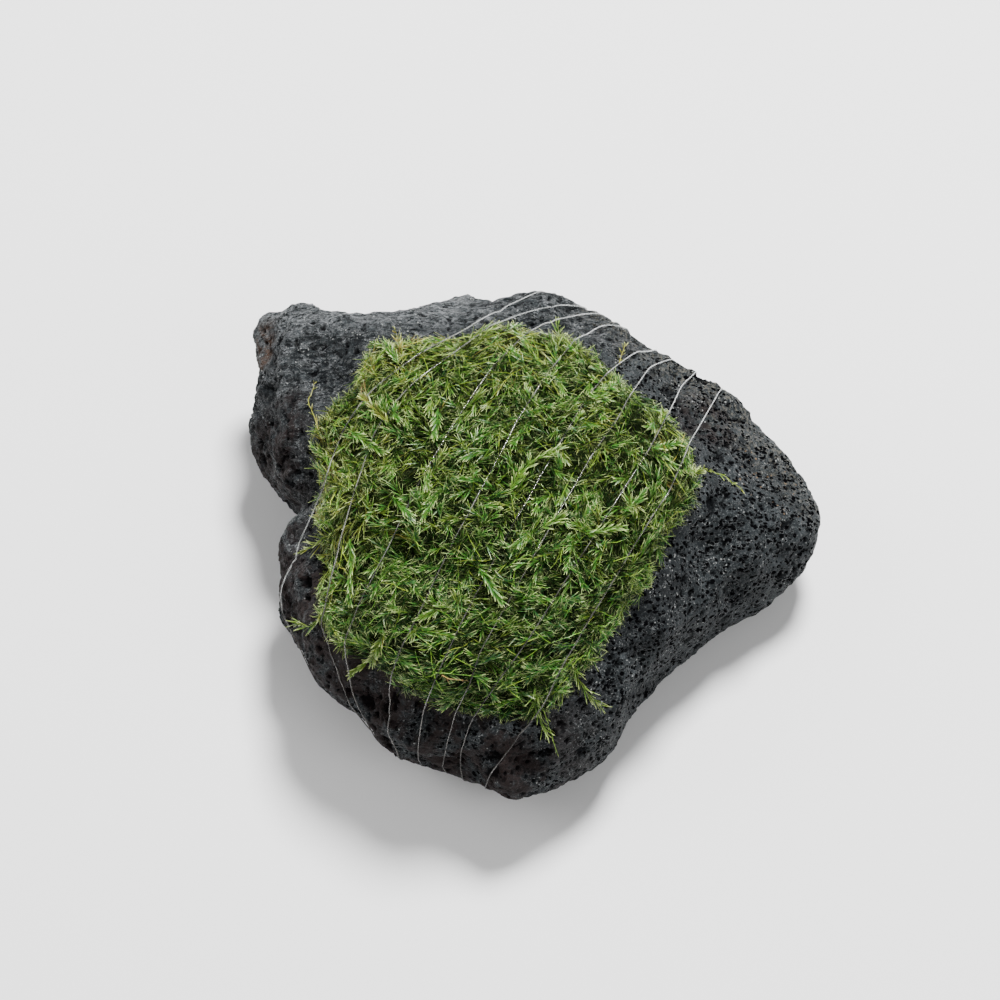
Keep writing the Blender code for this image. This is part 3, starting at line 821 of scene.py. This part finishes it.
class Tuft:
    """Leaves and stems gathered for one mesh."""

    def __init__(self):
        self.leaves = []
        self.verts = []
        self.faces = []
        self.tints = []

    def add_stem(self, stem, radius, hue, shade):
        """A three-sided stem that tapers to its tip."""
        first = len(self.verts)
        for index, joint in enumerate(stem):
            thickness = radius * (1 - STEM_TAPER * index / (len(stem) - 1))
            aside = joint.facing.cross(joint.heading)
            for turn in range(3):
                angle = math.radians(120 * turn + 90)
                spoke = aside * math.cos(angle) + joint.facing * math.sin(angle)
                self.verts.append(tuple(joint.place + spoke * thickness))
                self.tints.append((STEM_ALONG, hue, shade))
        self.faces.append((first, first + 2, first + 1))
        for ring in range(len(stem) - 1):
            low = first + 3 * ring
            for turn in range(3):
                one, two = low + turn, low + (turn + 1) % 3
                self.faces.append((one, two, two + 3, one + 3))
        end = first + 3 * (len(stem) - 1)
        self.faces.append((end, end + 1, end + 2))

    def add_leaf(self, base, way, facing, length, width, curl, hue, shade):
        self.leaves.append((*base, *way, *facing, length, width, curl, hue, shade))


def leaf_arrays(leaves, rings):
    """Corners, triangles and tints of closed pointed blades, each with a keel below."""
    data = np.array(leaves)
    base, way, facing = data[:, 0:3], data[:, 3:6], data[:, 6:9]
    length, width, curl, hue, shade = (data[:, column : column + 1] for column in range(9, 14))
    aside = np.cross(facing, way)
    aside /= np.linalg.norm(aside, axis=1, keepdims=True)
    upward = np.cross(way, aside)

    def spine(share):
        return base + way * length * share + upward * curl * length * share * share

    columns = [spine(0.0)]
    along = [0.0]
    for share, wide in rings:
        middle = spine(share)
        half = width * wide / 2
        columns += [middle + aside * half, middle - upward * half * LEAF_KEEL, middle - aside * half]
        along += [share] * 3
    columns.append(spine(1.0))
    along.append(1.0)
    count = len(along)
    corners = np.stack(columns, axis=1).reshape(-1, 3)
    tints = np.empty((len(data), count, 3))
    tints[:, :, 0] = np.array(along)
    tints[:, :, 1] = hue
    tints[:, :, 2] = shade * (FOOT_SHADE + (1 - FOOT_SHADE) * np.array(along))
    faces = [(0, 2, 1), (0, 3, 2), (0, 1, 3)]
    for ring in range(len(rings) - 1):
        low = 1 + 3 * ring
        for turn in range(3):
            one, two = low + turn, low + (turn + 1) % 3
            faces.append((one, two, two + 3))
            faces.append((one, two + 3, one + 3))
    last = count - 1
    low = last - 3
    faces += [(low, low + 1, last), (low + 1, low + 2, last), (low + 2, low, last)]
    offsets = np.arange(len(data)).reshape(-1, 1, 1) * count
    triangles = (np.array(faces).reshape(1, -1, 3) + offsets).reshape(-1, 3)
    return corners, triangles, tints.reshape(-1, 3)


def tuft_mesh(name, tuft, rings):
    corners, triangles, tints = leaf_arrays(tuft.leaves, rings)
    first = len(corners)
    if tuft.verts:
        corners = np.concatenate([corners, np.array(tuft.verts)])
        tints = np.concatenate([tints, np.array(tuft.tints)])
    faces = triangles.tolist() + [[first + corner for corner in face] for face in tuft.faces]
    mesh = bpy.data.meshes.new(name)
    mesh.from_pydata((corners * MM).tolist(), [], faces)
    layer = mesh.attributes.new("leaf", "FLOAT_COLOR", "POINT")
    colours = np.ones((len(corners), 4))
    colours[:, :3] = tints
    layer.data.foreach_set("color", colours.ravel())
    mesh.update()
    return mesh


def between(stem, spot):
    """The joint at a fractional place along a stem."""
    low = min(int(spot), len(stem) - 2)
    part = spot - low
    one, two = stem[low], stem[low + 1]
    return Joint(
        one.place.lerp(two.place, part),
        one.facing.lerp(two.facing, part).normalized(),
        one.heading.lerp(two.heading, part).normalized(),
        one.height + (two.height - one.height) * part,
    )


def in_gap(place):
    return sum(weight * noise.noise(place / width) for width, weight in GAP_SIZES) < GAP_BELOW


def dress(tuft, stem, rng, habit, hue, shade, ground=None):
    """Leaves in two ranks along a stem, shorter towards both ends, with one at the tip.

    Over a ground they leave its gaps open, and painted shade makes them darker along the thread.
    """
    run = SPRIG_STEP * (len(stem) - 1)
    count = max(3, round(run / habit.spacing))
    for index in range(count):
        share = (index + 0.5) / count
        joint = between(stem, share * (len(stem) - 1))
        if ground and in_gap(joint.place):
            continue
        groove_shade = ground.groove_shade(joint.place) if ground else 0.0
        aside = joint.facing.cross(joint.heading) * (1 if index % 2 else -1)
        angle = math.radians(sample_range(rng, habit.angles) * (1 - LEAF_CLOSING * share))
        rise = rng.gauss(habit.rise / 2, habit.rise)
        way = joint.heading * math.cos(angle) + aside * math.sin(angle) + joint.facing * rise
        turned = (joint.facing + aside * rng.gauss(0, LEAF_TWIST)).normalized()
        size = 0.62 + 0.5 * math.sin(math.pi * (0.15 + 0.75 * share))
        tuft.add_leaf(
            joint.place,
            way.normalized(),
            turned,
            habit.leaf_length * size * sample_range(rng, LEAF_LENGTHS),
            habit.leaf_width * sample_range(rng, LEAF_WIDTHS),
            rng.gauss(*LEAF_CURL),
            limited(hue + rng.gauss(0, HUE_SPREADS[1])),
            limited(shade + SHADE_RISE * joint.height + rng.gauss(0, SHADE_SPREADS[1]) - groove_shade),
        )
    tip = stem[-1]
    length = habit.leaf_length * TIP_LEAF[0]
    width = habit.leaf_width * TIP_LEAF[1]
    tuft.add_leaf(tip.place, tip.heading, tip.facing, length, width, TIP_LEAF[2], hue, limited(shade))


def area_change(areas, place):
    """How much the areas of the mat that a place is in change its hue or shade."""
    return sum(most * smoothstep(start, full, getattr(place, axis)) for axis, start, full, most in areas)


def hue_at(place, rng):
    """A sprig's hue: in patches over the mat, and yellower in some areas of it."""
    hue = HUE_MIDDLE + area_change(YELLOWER_AREAS, place)
    for index, (width, change) in enumerate(HUE_PATCHES):
        hue += change * noise.noise(place / width + PATCH_SHIFT * index)
    return limited(hue + rng.gauss(0, HUE_SPREADS[0]))


def heading_at(place, facing, rng):
    """Sprigs lie every way, other than on the front slope, where most of them lie level."""
    combed = COMBED_SHARE * smoothstep(*COMBED_FRONT, place.y)
    angle = rng.uniform(-math.pi, math.pi)
    if rng.random() < combed:
        angle = rng.choice((0.0, math.pi)) + rng.gauss(*COMBED_SPREAD)
    return turned_flat(Vector((math.cos(angle), math.sin(angle), 0)), facing)


def mat_within(mat):
    """The mat's solid with its rim drawn in, so that the leaves that grow on it end where the solid does."""
    inner = mat.copy()
    for vert in inner.vertices:
        place = vert.co / MM
        outward = Vector((place.x - HUB.x, place.y - HUB.y, 0))
        drawn = LEAF_REACH * smoothstep(MAT_FLAT, 2 * MAT_FLAT, outward.length)
        vert.co = (place - outward.normalized() * drawn) * MM
    return inner


def mat_spots(mat, count, rng):
    """Places spread evenly over the mat's outer surface."""
    mat.calc_loop_triangles()
    outer = []
    weights = []
    for triangle in mat.loop_triangles:
        middle = triangle.center / MM
        if triangle.normal.dot(middle - HUB) > 0:
            outer.append([mat.vertices[corner].co / MM for corner in triangle.vertices])
            weights.append(triangle.area)
    spots = []
    for corners in rng.choices(outer, weights, k=count):
        u, v = rng.random(), rng.random()
        if u + v > 1:
            u, v = 1 - u, 1 - v
        spots.append(corners[0] + (corners[1] - corners[0]) * u + (corners[2] - corners[0]) * v)
    return spots


def add_sprigs(tuft, ground, mat, layer, rng):
    for spot in mat_spots(mat, layer.sprigs, rng):
        point, facing, _ = ground.at(spot)
        habit_name = rng.choice(layer.habits)
        habit = HABITS[habit_name]
        stem = grow(
            ground, point, heading_at(point, facing, rng), sample_range(rng, layer.lengths), rng,
            sample_range(rng, layer.depths), sample_range(rng, layer.tips), sample_range(rng, OVERHANG),
        )
        if len(stem) < 3:
            continue
        hue = hue_at(point, rng)
        shade = layer.shade + rng.gauss(0, SHADE_SPREADS[0]) + area_change(LIGHTER_AREAS, point)
        if habit_name in OWN_TINTS:
            own_hue, brighter = OWN_TINTS[habit_name]
            hue = (hue + own_hue) / 2
            shade += brighter
        if layer.has_stems:
            tuft.add_stem(stem, habit.stem_radius, limited(hue + STEM_HUE), shade * STEM_SHADE)
        dress(tuft, stem, rng, habit, hue, shade, ground if layer.has_gaps else None)


def add_rim_sprigs(tuft, ground, rng):
    """Sprigs that reach out over the mat's rim by different lengths, so that its outline is ragged."""
    habit = HABITS["tangle"]
    for index in range(RIM_SPRIGS):
        azimuth = 2 * math.pi * (index + rng.random()) / RIM_SPRIGS
        outward = Vector((math.cos(azimuth), math.sin(azimuth), 0.0))
        reach = 0.0
        while ground.at(HUB + outward * (reach + 1) + RIM_LEVEL)[2]:
            reach += 1
        start, facing, _ = ground.at(HUB + outward * (reach - RIM_ROOTED) + RIM_LEVEL)
        aslant = Vector((-outward.y, outward.x, 0)) * rng.gauss(0, RIM_SLANT)
        heading = turned_flat(outward + aslant, facing)
        overhang = sample_range(rng, RIM_OVERHANG)
        tip = sample_range(rng, RIM_TIPS)
        stem = grow(ground, start, heading, RIM_LENGTH + overhang, rng, RIM_DEPTH, tip, overhang)
        if len(stem) > 2:
            hue = hue_at(start, rng)
            tuft.add_stem(stem, habit.stem_radius, limited(hue + STEM_HUE), RIM_STEM_SHADE)
            dress(tuft, stem, rng, habit, hue, RIM_SHADE)


def add_shoots(tuft, ground, rng):
    """The sprigs that stand out, each laid over the mat or the bare stone along its own route."""
    for habit_name, hue, rise, route in SHOOTS:
        habit = HABITS[habit_name]
        places = []
        for spot in resampled([Vector(point) for point in route], SPRIG_STEP):
            point, facing, on_mat = ground.at(spot)
            places.append((point + facing * (rise if on_mat else SHOOT_CLEAR), facing))
        stem = []
        for index, (place, facing) in enumerate(places):
            ahead = places[min(index + 1, len(places) - 1)][0]
            behind = places[max(index - 1, 0)][0]
            stem.append(Joint(place, facing, turned_flat(ahead - behind, facing), 0.0))
        tuft.add_stem(stem, habit.stem_radius, hue, SHOOT_STEM_SHADE)
        dress(tuft, stem, rng, habit, hue, SHOOT_SHADE)


def add_tuft(name, tuft, rings, material):
    """One mesh of leaves, each with the given rings between its foot and its tip."""
    mesh = tuft_mesh(name, tuft, rings)
    mesh.materials.append(material)
    new_piece(name, mesh, "moss")


def make_moss(nodes, stone_mesh, thread_points):
    mat = mat_within(nodes["moss"].data)
    ground = Ground(stone_mesh, mat, thread_points)
    material = leaf_material()
    for seed, layer in enumerate(LAYERS):
        rng = random.Random(LAYER_SEED + seed)
        tuft = Tuft()
        add_sprigs(tuft, ground, mat, layer, rng)
        if layer is LAYERS[-1]:
            add_rim_sprigs(tuft, ground, rng)
        add_tuft(layer.name, tuft, PLAIN_LEAF, material)
    shoots = Tuft()
    add_shoots(shoots, ground, random.Random(SHOOTS_SEED))
    add_tuft("moss_shoots", shoots, FINE_LEAF, material)
    make_core(nodes)


def make_core(nodes):
    """The dense lower part of the mat, a closed pad that hugs the stone below the leaves."""
    mesh = even_mesh(nodes["moss"], CORE_VOXEL, CORE_SMOOTHING)
    stone_tree, _ = solid_tree(nodes["stone"].data)
    for vert in mesh.vertices:
        place = vert.co / MM
        place.x = HUB.x + (place.x - HUB.x) * CORE_WIDTH
        place.y = HUB.y + (place.y - HUB.y) * CORE_WIDTH
        near, _, _, away = stone_tree.find_nearest(place)
        kept = CORE_HEIGHT if away > CORE_FOOT else 1.0
        vert.co = near.lerp(place, kept) * MM
    mesh.shade_smooth()
    mesh.materials.clear()
    mesh.materials.append(core_material())
    new_piece("moss_core", mesh, "moss")


def make_floor():
    bpy.ops.mesh.primitive_plane_add(size=3.0)
    floor = bpy.context.object
    floor.name = "floor"
    graph = Graph("floor")
    graph.surface(Base_Color=(0.88, 0.88, 0.88), Roughness=0.7)
    floor.data.materials.append(graph.material)


def add_light(name, place, size, power):
    light = bpy.data.lights.new(name, "AREA")
    light.shape = "DISK"
    light.size = size
    light.energy = power
    lamp = bpy.data.objects.new(name, light)
    bpy.context.scene.collection.objects.link(lamp)
    lamp.location = place
    lamp.rotation_euler = (LOOKED_AT * MM - Vector(place)).to_track_quat("-Z", "Y").to_euler()


def make_studio():
    """A pale floor and soft light, most of it from above and behind, with sizes in metres."""
    make_floor()
    add_light("key", (0.12, 0.32, 0.62), 0.20, 15.0)
    add_light("fill", (0.50, -0.45, 0.60), 0.60, 3.0)
    add_light("left", (-0.60, 0.05, 0.50), 0.50, 2.5)
    world = bpy.data.worlds.new("studio")
    world.use_nodes = True
    world.node_tree.nodes["Background"].inputs["Color"].default_value = (1, 1, 1, 1)
    world.node_tree.nodes["Background"].inputs["Strength"].default_value = 0.30
    bpy.context.scene.world = world


def make_camera():
    elevation = math.radians(CAMERA_ELEVATION)
    back = Vector((0, -math.cos(elevation), math.sin(elevation)))
    right = Vector((1, 0, 0))
    up = back.cross(right)
    camera = bpy.data.cameras.new("camera")
    camera.lens = CAMERA_LENS
    camera.sensor_width = 36
    camera.clip_start = 0.01
    holder = bpy.data.objects.new("camera", camera)
    bpy.context.scene.collection.objects.link(holder)
    place = LOOKED_AT + back * CAMERA_DISTANCE + right * CAMERA_ASIDE[0] + up * CAMERA_ASIDE[1]
    holder.location = place * MM
    holder.rotation_euler = (-back).to_track_quat("-Z", "Y").to_euler()
    bpy.context.scene.camera = holder


def main():
    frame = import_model()
    nodes = frame["nodes"]
    make_camera()
    make_studio()
    stone_mesh = make_stone(nodes)
    thread_points = make_thread(nodes, stone_mesh)
    make_moss(nodes, stone_mesh, thread_points)


main()
